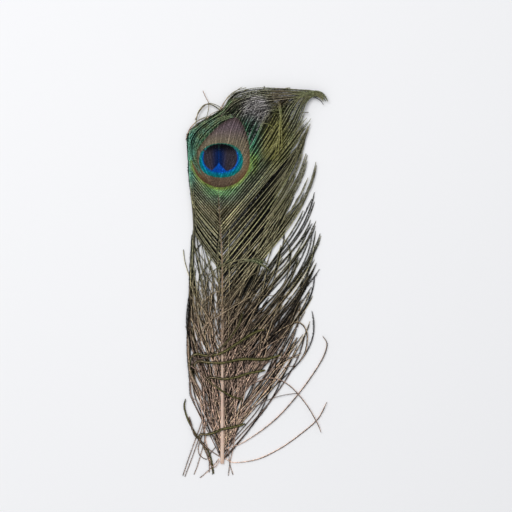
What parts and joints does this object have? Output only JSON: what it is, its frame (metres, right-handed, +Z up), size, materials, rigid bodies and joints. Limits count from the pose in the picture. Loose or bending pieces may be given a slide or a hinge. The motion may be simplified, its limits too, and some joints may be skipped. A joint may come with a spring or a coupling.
{
  "type": "peacock eye feather",
  "caption": "Peacock tail feather cut to its eyed top, lying face up: a pale tapering shaft, loose herl barbs, a webbed blue eye and an olive crown of barb ends.",
  "frame": {"origin": "middle of the feather's box in plan, on the surface that it lies on", "axes": "+Y along the shaft from the cut foot to the crown, +Z up out of the feather's face, +X across it to the right"},
  "size_m": [0.1026, 0.271, 0.0036],
  "materials": {
    "shaft_horn": "pale horn-like keratin, smooth with a soft gloss, pinkish cream at the cut foot and tan towards the eye",
    "herl": "fine barbs fringed with barbules, dark reddish brown and olive on pinkish tan ribs",
    "crown_herl": "loose fringed barb ends, dark olive to bronze green with a silky sheen",
    "eye_web": "flat webbed barbules with a metallic iridescent eye: dark blue pupil, turquoise disc, bronze oval and green rings",
    "stray_herl": "single curled barbs, fuzzy olive green to brown"
  },
  "bodies": {
    "root": {"shaft": "shaft_horn", "left_barbs": "herl", "right_barbs": "herl", "crown_barbs": "crown_herl", "eye_web": "eye_web", "stray_barb_01": "stray_herl", "stray_barb_02": "stray_herl", "stray_barb_03": "stray_herl", "stray_barb_04": "stray_herl", "stray_barb_05": "stray_herl", "stray_barb_06": "stray_herl", "stray_barb_07": "stray_herl", "stray_barb_08": "stray_herl", "stray_barb_09": "stray_herl", "stray_barb_10": "stray_herl"}
  },
  "joints": []
}
